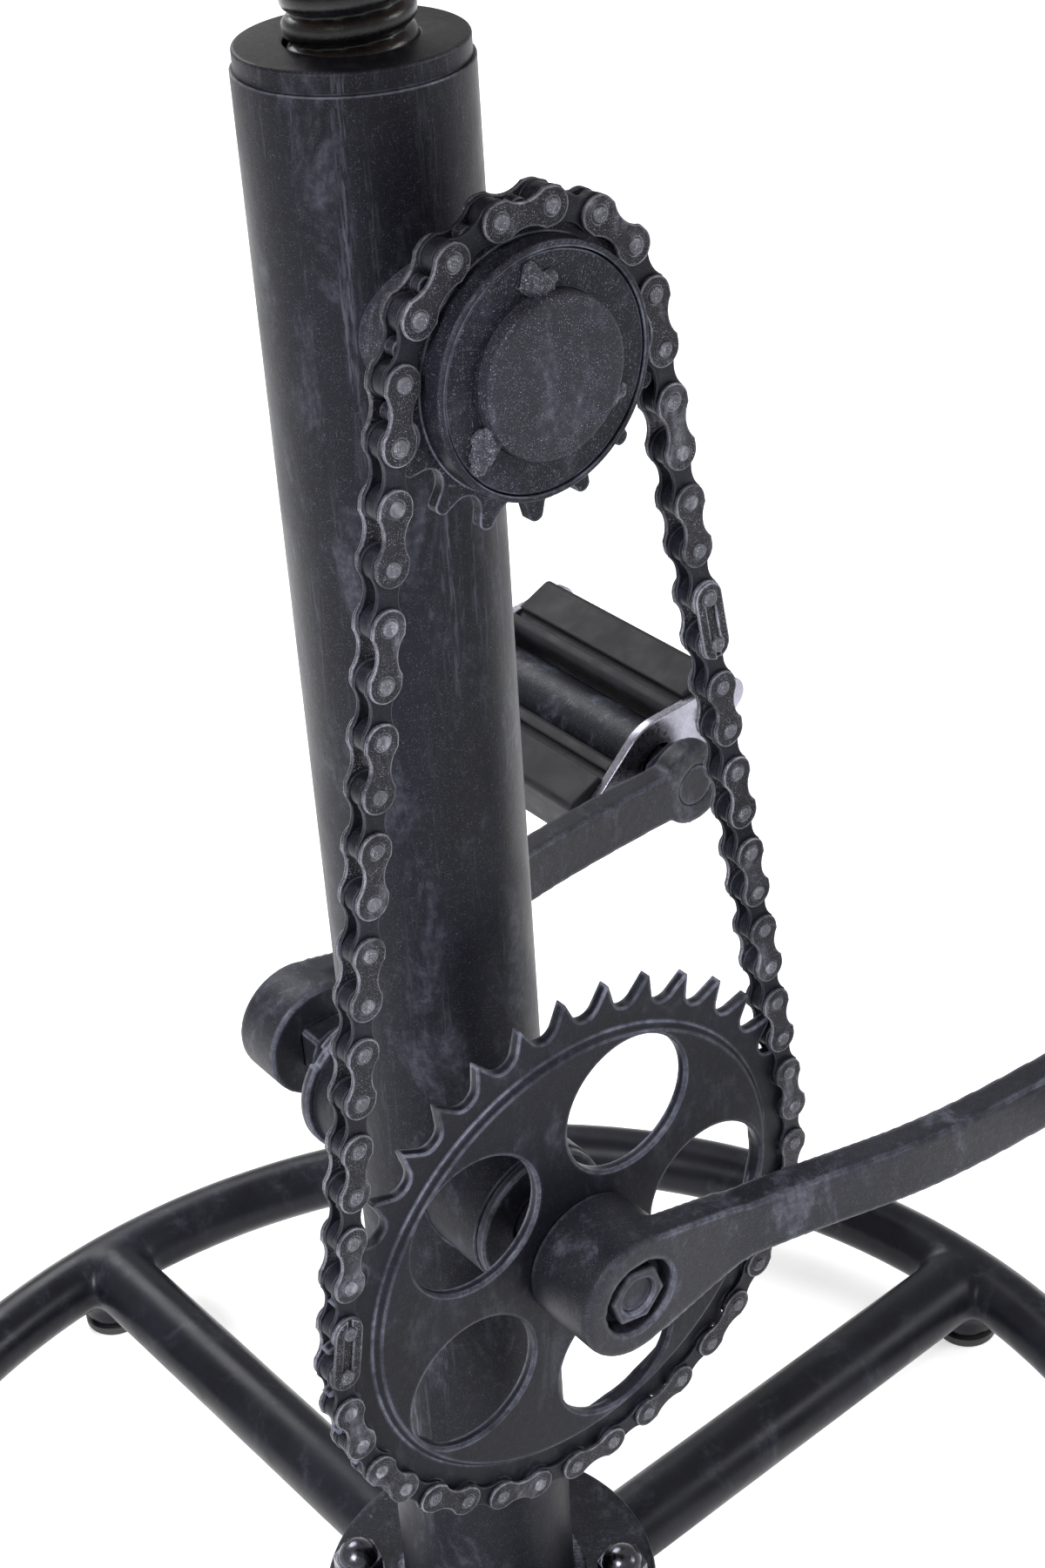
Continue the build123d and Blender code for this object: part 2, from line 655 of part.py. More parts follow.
def crank_blank(boss_start_y):
    """Crank on the +Y side: the arm leaves the boss at its end and bows outward to the eye."""
    root_x = -boss_r / 2
    far_x = crank_length + eye_r + 5
    line = [(x, boss_end_y + out) for x, out in arm_bow_line]
    line[-1] = (far_x, arm_outer_y)
    outer = Line((root_x, boss_end_y), line[0]) + Spline(
        *line, tangents=((1, 0), (1, 0)), tangent_scalars=(0.6, 0.3))
    back = Pos(0, -arm_thickness, 0) * outer
    sides = [Line((root_x, boss_end_y), (root_x, boss_end_y - arm_thickness)),
             Line((far_x, arm_outer_y), (far_x, arm_outer_y - arm_thickness))]
    plan = make_face([*outer.edges(), *back.edges(), *sides])
    band = extrude(plan, 2 * boss_r, both=True)
    arm = band & slab_y(arm_outline(), 0, arm_outer_y + 10)
    boss = bar_y(boss_r, boss_start_y, boss_end_y)
    boss = chamfer(boss.edges().group_by(Axis.Y)[-1], boss_chamfer)
    crank = arm + boss
    crank -= bar_y(boss_recess_r, boss_end_y - boss_recess_depth, boss_end_y + 1)
    socket = axle_square + 2 * fit_gap
    hole = Box(socket, 2 * boss_end_y, socket) & bar_y(axle_r + fit_gap, 0, boss_end_y)
    crank -= hole
    crank -= bar_y(pedal_thread_r + fit_gap, 0, arm_outer_y + 20, crank_length)
    return crank


def make_cranks():
    rear = crank_blank(rear_boss_start_y)
    save("rear_crank", Pos(0, 0, crank_height) * rear)
    spigot_start = -ring_back_y
    front = crank_blank(-ring_front_y)
    spigot = bar_y(spigot_r, spigot_start, -ring_front_y)
    spigot -= bar_y(axle_r + fit_gap, 0, boss_end_y)
    front = mirrored_y(front + spigot)
    save("front_crank", Pos(0, 0, crank_height) * front)


# ---------------------------------------------------------------- pedals

def plate_outline():
    """End plate of a pedal as (x, z): deep in the middle, drawn in to two rounded ends."""
    tip = pedal_plate_half - pedal_plate_tip_r
    face = Circle(pedal_plate_height)
    for side in (1, -1):
        face += Pos(side * tip, 0) * Circle(pedal_plate_tip_r)
        reach = math.degrees(math.acos((pedal_plate_height - pedal_plate_tip_r) / tip))
        big = polar(pedal_plate_height, reach)
        small = polar(pedal_plate_tip_r, reach)
        points = [(side * big[0], big[1]), (side * (tip + small[0]), small[1]),
                  (side * (tip + small[0]), -small[1]), (side * big[0], -big[1])]
        face += make_face(Polyline(*points, close=True))
    return face


def make_pedal(name, side, tilt_deg):
    """One pedal, drawn level on the +Y side of its crank and then placed."""
    start, end = pedal_start_y, pedal_end_y
    inner_plate_end = start + pedal_plate_t
    outer_plate_start = end - pedal_plate_t

    def put(shape):
        tilted = Rot(0, -tilt_deg, 0) * shape
        placed = Pos(crank_length, 0, crank_height) * tilted
        return mirrored_y(placed) if side < 0 else placed

    def put_all(shapes):
        return [put(shape) for shape in shapes]

    eye_inner = arm_outer_y - arm_thickness
    spindle = bar_y(pedal_thread_r, eye_inner, arm_outer_y)
    collar = bar_y(pedal_collar_r, arm_outer_y, arm_outer_y + pedal_collar_length)
    flats = Box(2 * pedal_collar_r, 400, 15)
    spindle += collar & flats
    spindle += bar_y(pedal_shaft_r, arm_outer_y, end - dust_cap_length)
    save(f"{name}_pedal_spindle", put(spindle))

    barrel = tube_y(barrel_r, barrel_bore_r, inner_plate_end, outer_plate_start)
    save(f"{name}_pedal_barrel", put(barrel))
    ball_track = pedal_shaft_r + running_gap / 2 + pedal_ball_r
    balls = []
    for y in (inner_plate_end + 5, outer_plate_start - 8):
        for k in range(pedal_ball_count):
            x, z = polar(ball_track, k * 360 / pedal_ball_count)
            balls.append(Pos(x, y, z) * Sphere(pedal_ball_r))

    plate = plate_outline()
    for bolt_side in (1, -1):
        plate -= Pos(bolt_side * tread_bolt_x, 0) * Circle(tread_bolt_r + fit_gap)
    inner_plate = slab_y(plate - Circle(pedal_shaft_r + 2.5), start, inner_plate_end)
    outer_plate = slab_y(plate - Circle(barrel_r - 3), outer_plate_start, end)
    save(f"{name}_pedal_inner_plate", put(inner_plate))
    save(f"{name}_pedal_outer_plate", put(outer_plate))

    treads = []
    for block_side in (1, -1):
        middle = (tread_inner + tread_outer) / 2
        width = tread_outer - tread_inner
        block = Pos(middle, (start + end) / 2, 0) * Box(
            width, pedal_width - 2 * pedal_plate_t, 2 * tread_half_thickness)
        block = fillet(block.edges().filter_by(Axis.Y), tread_edge_r)
        for face_side in (1, -1):
            cut = Box(groove_width, pedal_width, 2 * groove_depth)
            block -= Pos(tread_inner + groove_offset, (start + end) / 2,
                         face_side * tread_half_thickness) * cut
        block -= bar_y(tread_bolt_r + fit_gap, start - 1, end + 1, tread_bolt_x)
        treads.append(block if block_side > 0 else mirror(block, about=Plane.YZ))
    save(f"{name}_pedal_treads", put_all(treads))

    bolts = []
    for block_side in (1, -1):
        x = block_side * tread_bolt_x
        bolt = bar_y(tread_bolt_r, start, end, x)
        for nut_start in (start - tread_nut_height, end):
            bolt += hex_y(tread_nut_flats, nut_start, nut_start + tread_nut_height, x)
        bolts.append(bolt)
    save(f"{name}_pedal_bolts", put_all(bolts))
    cap = bar_y(barrel_r - 3 - fit_gap, end - pedal_plate_t, end + 2)
    cap = fillet(cap.edges().group_by(Axis.Y)[-1], 1.5)
    save(f"{name}_pedal_dust_cap", put(cap))
    return put_all(balls)


make_base()
make_flange_joint()
make_post()
make_seat()
make_chainring()
make_freewheel()
make_chain()
make_bracket()
make_cranks()
pedal_balls = make_pedal("front", -1, front_pedal_tilt_deg)
pedal_balls += make_pedal("rear", 1, rear_pedal_tilt_deg)
save("pedal_balls", pedal_balls)
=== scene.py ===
import bmesh
import bpy
import json
import math
from mathutils import Matrix, Vector, noise

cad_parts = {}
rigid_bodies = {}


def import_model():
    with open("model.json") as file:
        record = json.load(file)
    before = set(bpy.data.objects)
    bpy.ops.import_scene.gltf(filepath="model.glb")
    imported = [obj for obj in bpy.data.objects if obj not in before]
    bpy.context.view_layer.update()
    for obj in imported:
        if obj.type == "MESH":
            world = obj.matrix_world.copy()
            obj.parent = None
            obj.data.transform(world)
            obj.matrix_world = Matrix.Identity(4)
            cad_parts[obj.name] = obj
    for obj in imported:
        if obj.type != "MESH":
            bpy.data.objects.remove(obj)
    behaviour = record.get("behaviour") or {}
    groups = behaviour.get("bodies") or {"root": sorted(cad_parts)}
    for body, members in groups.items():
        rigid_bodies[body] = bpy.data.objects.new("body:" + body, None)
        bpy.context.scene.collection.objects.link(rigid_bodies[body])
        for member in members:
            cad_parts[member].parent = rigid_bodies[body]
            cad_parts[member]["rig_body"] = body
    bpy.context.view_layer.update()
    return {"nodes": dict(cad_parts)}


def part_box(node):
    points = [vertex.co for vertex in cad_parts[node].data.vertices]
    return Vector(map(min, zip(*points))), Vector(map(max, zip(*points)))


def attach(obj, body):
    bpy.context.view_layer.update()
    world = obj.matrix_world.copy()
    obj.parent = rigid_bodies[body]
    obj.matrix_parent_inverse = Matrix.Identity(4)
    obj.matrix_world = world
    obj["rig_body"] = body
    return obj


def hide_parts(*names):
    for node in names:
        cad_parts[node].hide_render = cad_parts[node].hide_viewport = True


# Pedal bar stool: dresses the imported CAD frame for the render. Metres, in the CAD's own frame.
# Each visible piece rides on the body of the CAD node that it stands for, so it follows any pose.

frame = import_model()
nodes = frame["nodes"]

# ---------------------------------------------------------------- materials


class Shader:
    """A node material with short calls for the nodes used here."""

    def __init__(self, name):
        self.material = bpy.data.materials.new(name)
        self.material.use_nodes = True
        self.tree = self.material.node_tree
        self.tree.nodes.clear()
        self.output = self.tree.nodes.new("ShaderNodeOutputMaterial")
        self.surface = self.tree.nodes.new("ShaderNodeBsdfPrincipled")
        self.link(self.surface.outputs["BSDF"], self.output.inputs["Surface"])
        self.place = self.tree.nodes.new("ShaderNodeTexCoord").outputs["Object"]

    def link(self, source, target):
        self.tree.links.new(source, target)

    def feed(self, socket, value):
        if isinstance(value, bpy.types.NodeSocket):
            self.link(value, socket)
        else:
            socket.default_value = value

    def noise(self, scale, detail=4.0, rough=0.6, stretch=None, distort=0.0):
        node = self.tree.nodes.new("ShaderNodeTexNoise")
        node.inputs["Scale"].default_value = scale
        node.inputs["Detail"].default_value = detail
        node.inputs["Roughness"].default_value = rough
        node.inputs["Distortion"].default_value = distort
        self.link(self.stretched(stretch), node.inputs["Vector"])
        return node.outputs["Fac"]

    def cells(self, scale, feature="F1"):
        node = self.tree.nodes.new("ShaderNodeTexVoronoi")
        node.feature = feature
        node.inputs["Scale"].default_value = scale
        self.link(self.place, node.inputs["Vector"])
        return node.outputs["Distance"]

    def stretched(self, stretch):
        if stretch is None:
            return self.place
        node = self.tree.nodes.new("ShaderNodeMapping")
        node.inputs["Scale"].default_value = stretch
        self.link(self.place, node.inputs["Vector"])
        return node.outputs["Vector"]

    def ramp(self, value, low, high, out_low=0.0, out_high=1.0):
        node = self.tree.nodes.new("ShaderNodeMapRange")
        node.interpolation_type = "SMOOTHSTEP"
        for name, number in (("From Min", low), ("From Max", high),
                             ("To Min", out_low), ("To Max", out_high)):
            node.inputs[name].default_value = number
        self.feed(node.inputs["Value"], value)
        return node.outputs["Result"]

    def math(self, kind, a, b=0.0):
        node = self.tree.nodes.new("ShaderNodeMath")
        node.operation = kind
        node.use_clamp = kind in ("ADD", "MULTIPLY", "SUBTRACT")
        self.feed(node.inputs[0], a)
        self.feed(node.inputs[1], b)
        return node.outputs["Value"]

    def mix(self, factor, a, b):
        node = self.tree.nodes.new("ShaderNodeMix")
        node.data_type = "RGBA"
        self.feed(node.inputs["Factor"], factor)
        for socket, colour in ((node.inputs[6], a), (node.inputs[7], b)):
            if isinstance(colour, bpy.types.NodeSocket):
                self.link(colour, socket)
            else:
                socket.default_value = (*colour, 1.0)
        return node.outputs[2]

    def bump(self, height, strength, distance, normal=None):
        node = self.tree.nodes.new("ShaderNodeBump")
        node.inputs["Strength"].default_value = strength
        node.inputs["Distance"].default_value = distance
        self.link(height, node.inputs["Height"])
        if normal is not None:
            self.link(normal, node.inputs["Normal"])
        return node.outputs["Normal"]

    def round_edges(self, radius):
        """(rounded normal, how far it leans from the true one: 0 on flats, 1 on edges)."""
        flat_lean, edge_lean = 0.004, 0.075
        bevel = self.tree.nodes.new("ShaderNodeBevel")
        bevel.samples = 6
        bevel.inputs["Radius"].default_value = radius
        geometry = self.tree.nodes.new("ShaderNodeNewGeometry")
        dot = self.tree.nodes.new("ShaderNodeVectorMath")
        dot.operation = "DOT_PRODUCT"
        self.link(bevel.outputs["Normal"], dot.inputs[0])
        self.link(geometry.outputs["Normal"], dot.inputs[1])
        lean = self.math("SUBTRACT", 1.0, dot.outputs["Value"])
        return bevel.outputs["Normal"], self.ramp(lean, flat_lean, edge_lean)


def black_metal(name, dark, worn_and_sheen, rough, edge, speck, streak=0.0, grain=0.2,
                radius=0.0007, rub_and_sheen=0.25, gloss=0.13):
    """Blackened steel: a patchy dark coat with paler marks of wear, specks and hazy patches, the
    hazy patches partly painted highlight.

    dark, worn: the coat, and the pale colour of its wear, specks and painted highlight patches;
    rough: its roughness; gloss: its specular level
    edge, speck, rub, streak: strength of edge wear, fine specks, hazy patches of rubbing wear and
    painted highlight, and brushing
    grain: strength of the surface bump; radius: how far the shading rounds an edge
    """
    s = Shader(name)
    rounded, lean = s.round_edges(radius)
    cloud = s.noise(22.0, 5.0, 0.6, distort=0.6)
    fine = s.noise(420.0, 4.0, 0.7)
    tiny = s.noise(3600.0, 2.0, 0.6)
    coat = s.mix(s.ramp(cloud, 0.3, 0.72), dark, tuple(c * 1.8 for c in dark))
    dust = s.math("MULTIPLY", s.ramp(tiny, 0.57, 0.69), s.ramp(fine, 0.38, 0.62, 0.25, 1.0))
    dust = s.math("MULTIPLY", dust, speck)
    wear = s.math("MULTIPLY", lean, s.ramp(fine, 0.28, 0.62, 0.35, 1.0))
    patchwork = s.ramp(s.noise(48.0, 3.0, 0.6), 0.36, 0.6, 0.3, 1.0)
    wear = s.math("MULTIPLY", s.math("MULTIPLY", wear, patchwork), edge)
    # Hazy pale patches: partly rubbing wear, partly a painted highlight that stands in for a soft
    # sheen on the coat.
    haze = s.noise(75.0, 5.0, 0.72, (1.0, 1.0, 0.45), 0.4)
    rubbed_and_sheen = s.math("MULTIPLY", s.ramp(haze, 0.5, 0.7), s.ramp(fine, 0.36, 0.66, 0.35, 1.0))
    rubbed_and_sheen = s.math("MULTIPLY", rubbed_and_sheen, rub_and_sheen)
    marks = s.math("MAXIMUM", s.math("MAXIMUM", wear, dust), rubbed_and_sheen)
    height = s.math("ADD", s.math("MULTIPLY", fine, 0.6), s.math("MULTIPLY", tiny, 0.4))
    if streak:
        brush = s.noise(260.0, 3.0, 0.7, (1.0, 1.0, 0.035))
        patch = s.noise(30.0, 3.0, 0.5, (1.0, 1.0, 0.4))
        scuff = s.noise(1500.0, 2.0, 0.6, (1.0, 1.0, 0.12))
        lines = s.math("MULTIPLY", s.ramp(brush, 0.5, 0.74), s.ramp(patch, 0.42, 0.66))
        lines = s.math("MULTIPLY", lines, s.ramp(scuff, 0.4, 0.62))
        marks = s.math("MAXIMUM", marks, s.math("MULTIPLY", lines, streak))
        height = s.math("ADD", s.math("MULTIPLY", height, 0.8), s.math("MULTIPLY", scuff, 0.2))
    s.link(s.mix(marks, coat, worn_and_sheen), s.surface.inputs["Base Color"])
    s.surface.inputs["Metallic"].default_value = 0.2
    s.surface.inputs["Specular IOR Level"].default_value = gloss
    patchy = s.ramp(cloud, 0.25, 0.75, rough - 0.08, rough + 0.1)
    s.link(s.math("SUBTRACT", patchy, s.math("MULTIPLY", marks, 0.12)),
           s.surface.inputs["Roughness"])
    s.link(s.bump(height, grain, 0.0004, rounded), s.surface.inputs["Normal"])
    return s.material


def plain_steel(name, colour, rough):
    """Bare or bright steel with brighter edges."""
    s = Shader(name)
    rounded, lean = s.round_edges(0.0005)
    cloud = s.noise(60.0, 4.0, 0.6)
    fine = s.noise(900.0, 3.0, 0.6)
    tone = s.mix(s.ramp(cloud, 0.3, 0.7), tuple(c * 0.6 for c in colour), colour)
    tone = s.mix(s.math("MULTIPLY", lean, 0.5), tone, tuple(min(1, c * 1.8) for c in colour))
    s.link(tone, s.surface.inputs["Base Color"])
    s.surface.inputs["Metallic"].default_value = 1.0
    s.link(s.ramp(fine, 0.3, 0.7, rough - 0.06, rough + 0.1), s.surface.inputs["Roughness"])
    s.link(s.bump(fine, 0.08, 0.0002, rounded), s.surface.inputs["Normal"])
    return s.material


def rubber(name):
    """Black rubber, a little paler where it is scuffed."""
    s = Shader(name)
    rounded, lean = s.round_edges(0.0009)
    cloud = s.noise(70.0, 4.0, 0.6)
    fine = s.noise(1500.0, 3.0, 0.65)
    tone = s.mix(s.ramp(cloud, 0.35, 0.7), (0.007, 0.007, 0.009), (0.014, 0.014, 0.018))
    s.surface.inputs["Specular IOR Level"].default_value = 0.2
    tone = s.mix(s.math("MULTIPLY", lean, 0.35), tone, (0.09, 0.09, 0.095))
    s.link(tone, s.surface.inputs["Base Color"])
    s.link(s.ramp(cloud, 0.3, 0.7, 0.5, 0.66), s.surface.inputs["Roughness"])
    s.link(s.bump(fine, 0.18, 0.0003, rounded), s.surface.inputs["Normal"])
    return s.material


def plastic(name, colour, rough):
    """Moulded plastic of one colour."""
    s = Shader(name)
    rounded, _ = s.round_edges(0.0006)
    fine = s.noise(1200.0, 3.0, 0.6)
    cloud = s.noise(40.0, 3.0, 0.5)
    s.link(s.mix(cloud, tuple(c * 0.8 for c in colour), colour), s.surface.inputs["Base Color"])
    s.link(s.ramp(cloud, 0.3, 0.7, rough, rough + 0.1), s.surface.inputs["Roughness"])
    s.link(s.bump(fine, 0.12, 0.0002, rounded), s.surface.inputs["Normal"])
    return s.material


def leather(name):
    """Dark brown leather with fine cells, pores and slow folds."""
    s = Shader(name)
    crease = s.cells(620.0, "DISTANCE_TO_EDGE")
    pore = s.cells(1400.0)
    cloud = s.noise(9.0, 5.0, 0.6)
    tone = s.mix(s.ramp(cloud, 0.3, 0.7), (0.014, 0.008, 0.0055), (0.042, 0.022, 0.013))
    tone = s.mix(s.ramp(crease, 0.0, 0.12, 0.6, 0.0), tone, (0.012, 0.007, 0.005))
    s.link(tone, s.surface.inputs["Base Color"])
    s.link(s.ramp(cloud, 0.3, 0.7, 0.42, 0.58), s.surface.inputs["Roughness"])
    s.surface.inputs["Specular IOR Level"].default_value = 0.22
    fold = s.noise(34.0, 3.0, 0.55, distort=1.2)
    height = s.math("ADD", s.ramp(crease, 0.0, 0.2), s.math("MULTIPLY", pore, 0.3))
    height = s.math("ADD", s.math("MULTIPLY", height, 0.5), s.math("MULTIPLY", fold, 0.5))
    s.link(s.bump(height, 0.35, 0.0005), s.surface.inputs["Normal"])
    return s.material


def plywood(name):
    """Stained plywood: grain along Y and plies stacked along Z."""
    s = Shader(name)
    rounded, _ = s.round_edges(0.001)
    grain = s.noise(38.0, 6.0, 0.65, (1.0, 0.09, 1.0), 0.8)
    ply = s.noise(1.0, 0.0, 0.5, (0.0, 0.0, 620.0))
    tone = s.mix(s.ramp(grain, 0.3, 0.7), (0.10, 0.052, 0.024), (0.30, 0.17, 0.085))
    tone = s.mix(s.ramp(ply, 0.45, 0.6, 0.0, 0.35), tone, (0.05, 0.027, 0.014))
    s.link(tone, s.surface.inputs["Base Color"])
    s.link(s.ramp(grain, 0.3, 0.7, 0.45, 0.62), s.surface.inputs["Roughness"])
    s.link(s.bump(grain, 0.15, 0.0004, rounded), s.surface.inputs["Normal"])
    return s.material


INK = (0.006, 0.0063, 0.0098)
# Pale colour of the coat's marks: wear, specks, and hazy patches that are partly painted
# highlight.
RUBBED_AND_SHEEN = (0.25, 0.26, 0.34)
# black_metal takes: name, dark, worn, rough, edge, speck; worn is the pale colour of wear, specks
# and painted highlight patches
looks = {
    "post": black_metal("post_steel", INK, RUBBED_AND_SHEEN, 0.42, 1.0, 0.26, streak=0.26, grain=0.3,
                        radius=0.0009, rub_and_sheen=0.19),
    "tube": black_metal("tube_steel", INK, RUBBED_AND_SHEEN, 0.34, 0.25, 0.05, grain=0.1, rub_and_sheen=0.09,
                        gloss=0.2),
    "cast": black_metal("cast_steel", (0.0095, 0.0098, 0.014), RUBBED_AND_SHEEN, 0.4, 1.0, 0.3,
                        grain=0.5, radius=0.0022, rub_and_sheen=0.28, gloss=0.2),
    "ring": black_metal("ring_steel", INK, RUBBED_AND_SHEEN, 0.42, 1.0, 0.12, grain=0.3, radius=0.0016,
                        rub_and_sheen=0.13),
    "hub": black_metal("freewheel_steel", INK, RUBBED_AND_SHEEN, 0.46, 0.8, 0.6, grain=0.35,
                       radius=0.0008, rub_and_sheen=0.14),
    "cap": black_metal("cap_steel", (0.013, 0.013, 0.0175), RUBBED_AND_SHEEN, 0.5, 0.7, 1.0, grain=0.35,
                       radius=0.0009, rub_and_sheen=0.3),
    "weld": black_metal("weld_steel", (0.02, 0.02, 0.027), (0.42, 0.42, 0.5), 0.5, 1.0, 1.0,
                        grain=0.8, radius=0.001, rub_and_sheen=0.7),
    "chain": black_metal("chain_steel", (0.009, 0.009, 0.012), (0.5, 0.5, 0.6), 0.4, 1.0,
                         0.6, grain=0.3, radius=0.0007, rub_and_sheen=0.24),
    "roller": black_metal("roller_steel", INK, RUBBED_AND_SHEEN, 0.42, 0.5, 0.2, grain=0.2,
                          radius=0.0005, rub_and_sheen=0.1),
    "pin": black_metal("pin_steel", (0.05, 0.05, 0.06), (0.5, 0.5, 0.58), 0.4, 1.0, 1.0,
                       grain=0.3, radius=0.0006, rub_and_sheen=0.8),
    "thread": black_metal("thread_steel", (0.004, 0.004, 0.005), (0.14, 0.14, 0.16), 0.24, 0.3,
                          0.15, grain=0.3, rub_and_sheen=0.15, gloss=0.45),
    "steel": plain_steel("rubbed_steel", (0.36, 0.355, 0.42), 0.3),
    "bolt": plain_steel("bolt_steel", (0.10, 0.10, 0.12), 0.22),
    "ball": plain_steel("bearing_steel", (0.6, 0.6, 0.62), 0.15),
    "rubber": rubber("tread_rubber"),
    "glide": plastic("glide_plastic", (0.02, 0.02, 0.021), 0.5),
    "guide": plastic("guide_plastic", (0.66, 0.64, 0.58), 0.45),
    "leather": leather("seat_leather"),
    "plywood": plywood("seat_plywood"),
}

# ---------------------------------------------------------------- mesh helpers


def dress(mesh, look):
    """Gives the mesh this one material."""
    mesh.materials.clear()
    mesh.materials.append(looks[look])


def mesh_from(bm, name):
    """A new mesh with the shape of bm, which is freed."""
    mesh = bpy.data.meshes.new(name)
    bm.to_mesh(mesh)
    bm.free()
    return mesh


def add_object(name, mesh, look, sharp_deg=None):
    """A smooth-shaded piece. With sharp_deg, the edges that turn more than that stay sharp."""
    piece = bpy.data.objects.new(name, mesh)
    bpy.context.scene.collection.objects.link(piece)
    dress(mesh, look)
    mesh.shade_smooth()
    if sharp_deg:
        mesh.set_sharp_from_angle(angle=math.radians(sharp_deg))
    return piece


def bake(piece):
    """Applies the piece's modifiers."""
    graph = bpy.context.evaluated_depsgraph_get()
    mesh = bpy.data.meshes.new_from_object(piece.evaluated_get(graph))
    piece.modifiers.clear()
    old = piece.data
    piece.data = mesh
    bpy.data.meshes.remove(old)


def cad_mesh(name, *sources):
    """One clean mesh with the shapes of these CAD nodes."""
    bm = bmesh.new()
    for source in sources:
        bm.from_mesh(nodes[source].data)
    bmesh.ops.remove_doubles(bm, verts=bm.verts, dist=1e-6)
    mesh = mesh_from(bm, name)
    for layer in ("custom_normal", "sharp_face", "sharp_edge"):
        if layer in mesh.attributes:
            mesh.attributes.remove(mesh.attributes[layer])
    return mesh


def body_of(node):
    """The body that a CAD node belongs to."""
    return nodes[node]["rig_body"]


def circle(bm, radius, z, around):
    """A ring of loose vertices round the Z axis."""
    return [bm.verts.new((radius * math.cos(t), radius * math.sin(t), z))
            for t in (2 * math.pi * k / around for k in range(around))]


def softened(name, look, voxel, passes, *sources):
    """These CAD nodes as one casting or weldment, with every edge and corner run together."""
    piece = add_object(name, cad_mesh(name, *sources), look)
    remesh = piece.modifiers.new("cells", "REMESH")
    remesh.mode = "VOXEL"
    remesh.voxel_size = voxel
    remesh.use_smooth_shade = True
    smooth = piece.modifiers.new("smooth", "SMOOTH")
    smooth.factor = 0.5
    smooth.iterations = passes
    bake(piece)
    dress(piece.data, look)
    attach(piece, body_of(sources[0]))
    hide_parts(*sources)


def eased(name, look, width, source, segments=2, angle=32.0):
    """A machined CAD node with its sharp edges broken."""
    mesh = cad_mesh(name, source)
    bm = bmesh.new()
    bm.from_mesh(mesh)
    bmesh.ops.dissolve_limit(bm, angle_limit=math.radians(0.4), verts=bm.verts, edges=bm.edges)
    bm.to_mesh(mesh)
    bm.free()
    piece = add_object(name, mesh, look)
    bevel = piece.modifiers.new("edges", "BEVEL")
    bevel.width = width
    bevel.segments = segments
    bevel.limit_method = "ANGLE"
    bevel.angle_limit = math.radians(angle)
    bevel.use_clamp_overlap = True
    weighted = piece.modifiers.new("normals", "WEIGHTED_NORMAL")
    weighted.keep_sharp = False
    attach(piece, body_of(source))
    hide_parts(source)


def paint(look, *names):
    """Keeps these CAD nodes as they are, with this look."""
    for name in names:
        dress(nodes[name].data, look)


# ---------------------------------------------------------------- pieces made here


def tack_welds():
    """Three rough beads that hold the freewheel's cone to the stub axle."""
    stub_low, stub_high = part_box("stub_axle")
    cone_low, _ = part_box("freewheel_cone")
    centre_z = (stub_low[2] + stub_high[2]) / 2
    radius = stub_high[0]
    bm = bmesh.new()
    # (degrees round the axle, millimetres out from its rim, radius in millimetres)
    lobes = ((92.0, 0.0, 3.0), (97.0, 2.6, 2.8), (86.0, 2.2, 2.0), (98.0, 5.2, 1.8),
             (212.0, 0.4, 3.2), (214.0, 3.6, 3.0), (206.0, 2.0, 2.2), (218.0, 6.0, 1.9),
             (330.0, 0.0, 2.6), (333.0, 2.6, 2.2), (326.0, 2.0, 1.6))
    for degrees, out, size in lobes:
        start = len(bm.verts)
        bmesh.ops.create_icosphere(bm, subdivisions=4, radius=1.0)
        bm.verts.ensure_lookup_table()
        turn = math.radians(degrees)
        reach = radius + out / 1000
        spot = Vector((reach * math.cos(turn), cone_low[1] - 0.0002,
                       centre_z + reach * math.sin(turn)))
        for vert in bm.verts[start:]:
            lump = 1 + 0.22 * noise.noise(vert.co * 1.7 + Vector((degrees, out, 0)))
            lump += 0.08 * noise.noise(vert.co * 6 + Vector((0, degrees, out)))
            vert.co = spot + Vector((vert.co.x, vert.co.y * 0.75, vert.co.z)) * size * lump / 1000
    piece = add_object("tack_weld_beads", mesh_from(bm, "tack_weld_beads"), "weld")
    remesh = piece.modifiers.new("join", "REMESH")
    remesh.mode = "VOXEL"
    remesh.voxel_size = 0.00022
    bake(piece)
    piece.data.shade_smooth()
    dress(piece.data, "weld")
    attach(piece, "stand")
    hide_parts("tack_welds")


def weld_bead(name, radius, height, size):
    """A rippled fillet weld round the post."""
    bm = bmesh.new()
    steps, around, ripples = 480, 16, 64
    rows = []
    for i in range(steps):
        turn = 2 * math.pi * i / steps
        swell = size * (1 + 0.10 * math.sin(ripples * turn) + 0.12 * noise.noise(
            Vector((math.cos(turn), math.sin(turn), 0.0)) * 5))
        rows.append([bm.verts.new(((radius + swell * math.cos(a)) * math.cos(turn),
                                   (radius + swell * math.cos(a)) * math.sin(turn),
                                   height + swell * math.sin(a)))
                     for a in (2 * math.pi * j / around for j in range(around))])
    for i in range(steps):
        for j in range(around):
            bm.faces.new((rows[i][j], rows[(i + 1) % steps][j],
                          rows[(i + 1) % steps][(j + 1) % around], rows[i][(j + 1) % around]))
    piece = add_object(name, mesh_from(bm, name), "cast")
    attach(piece, "stand")


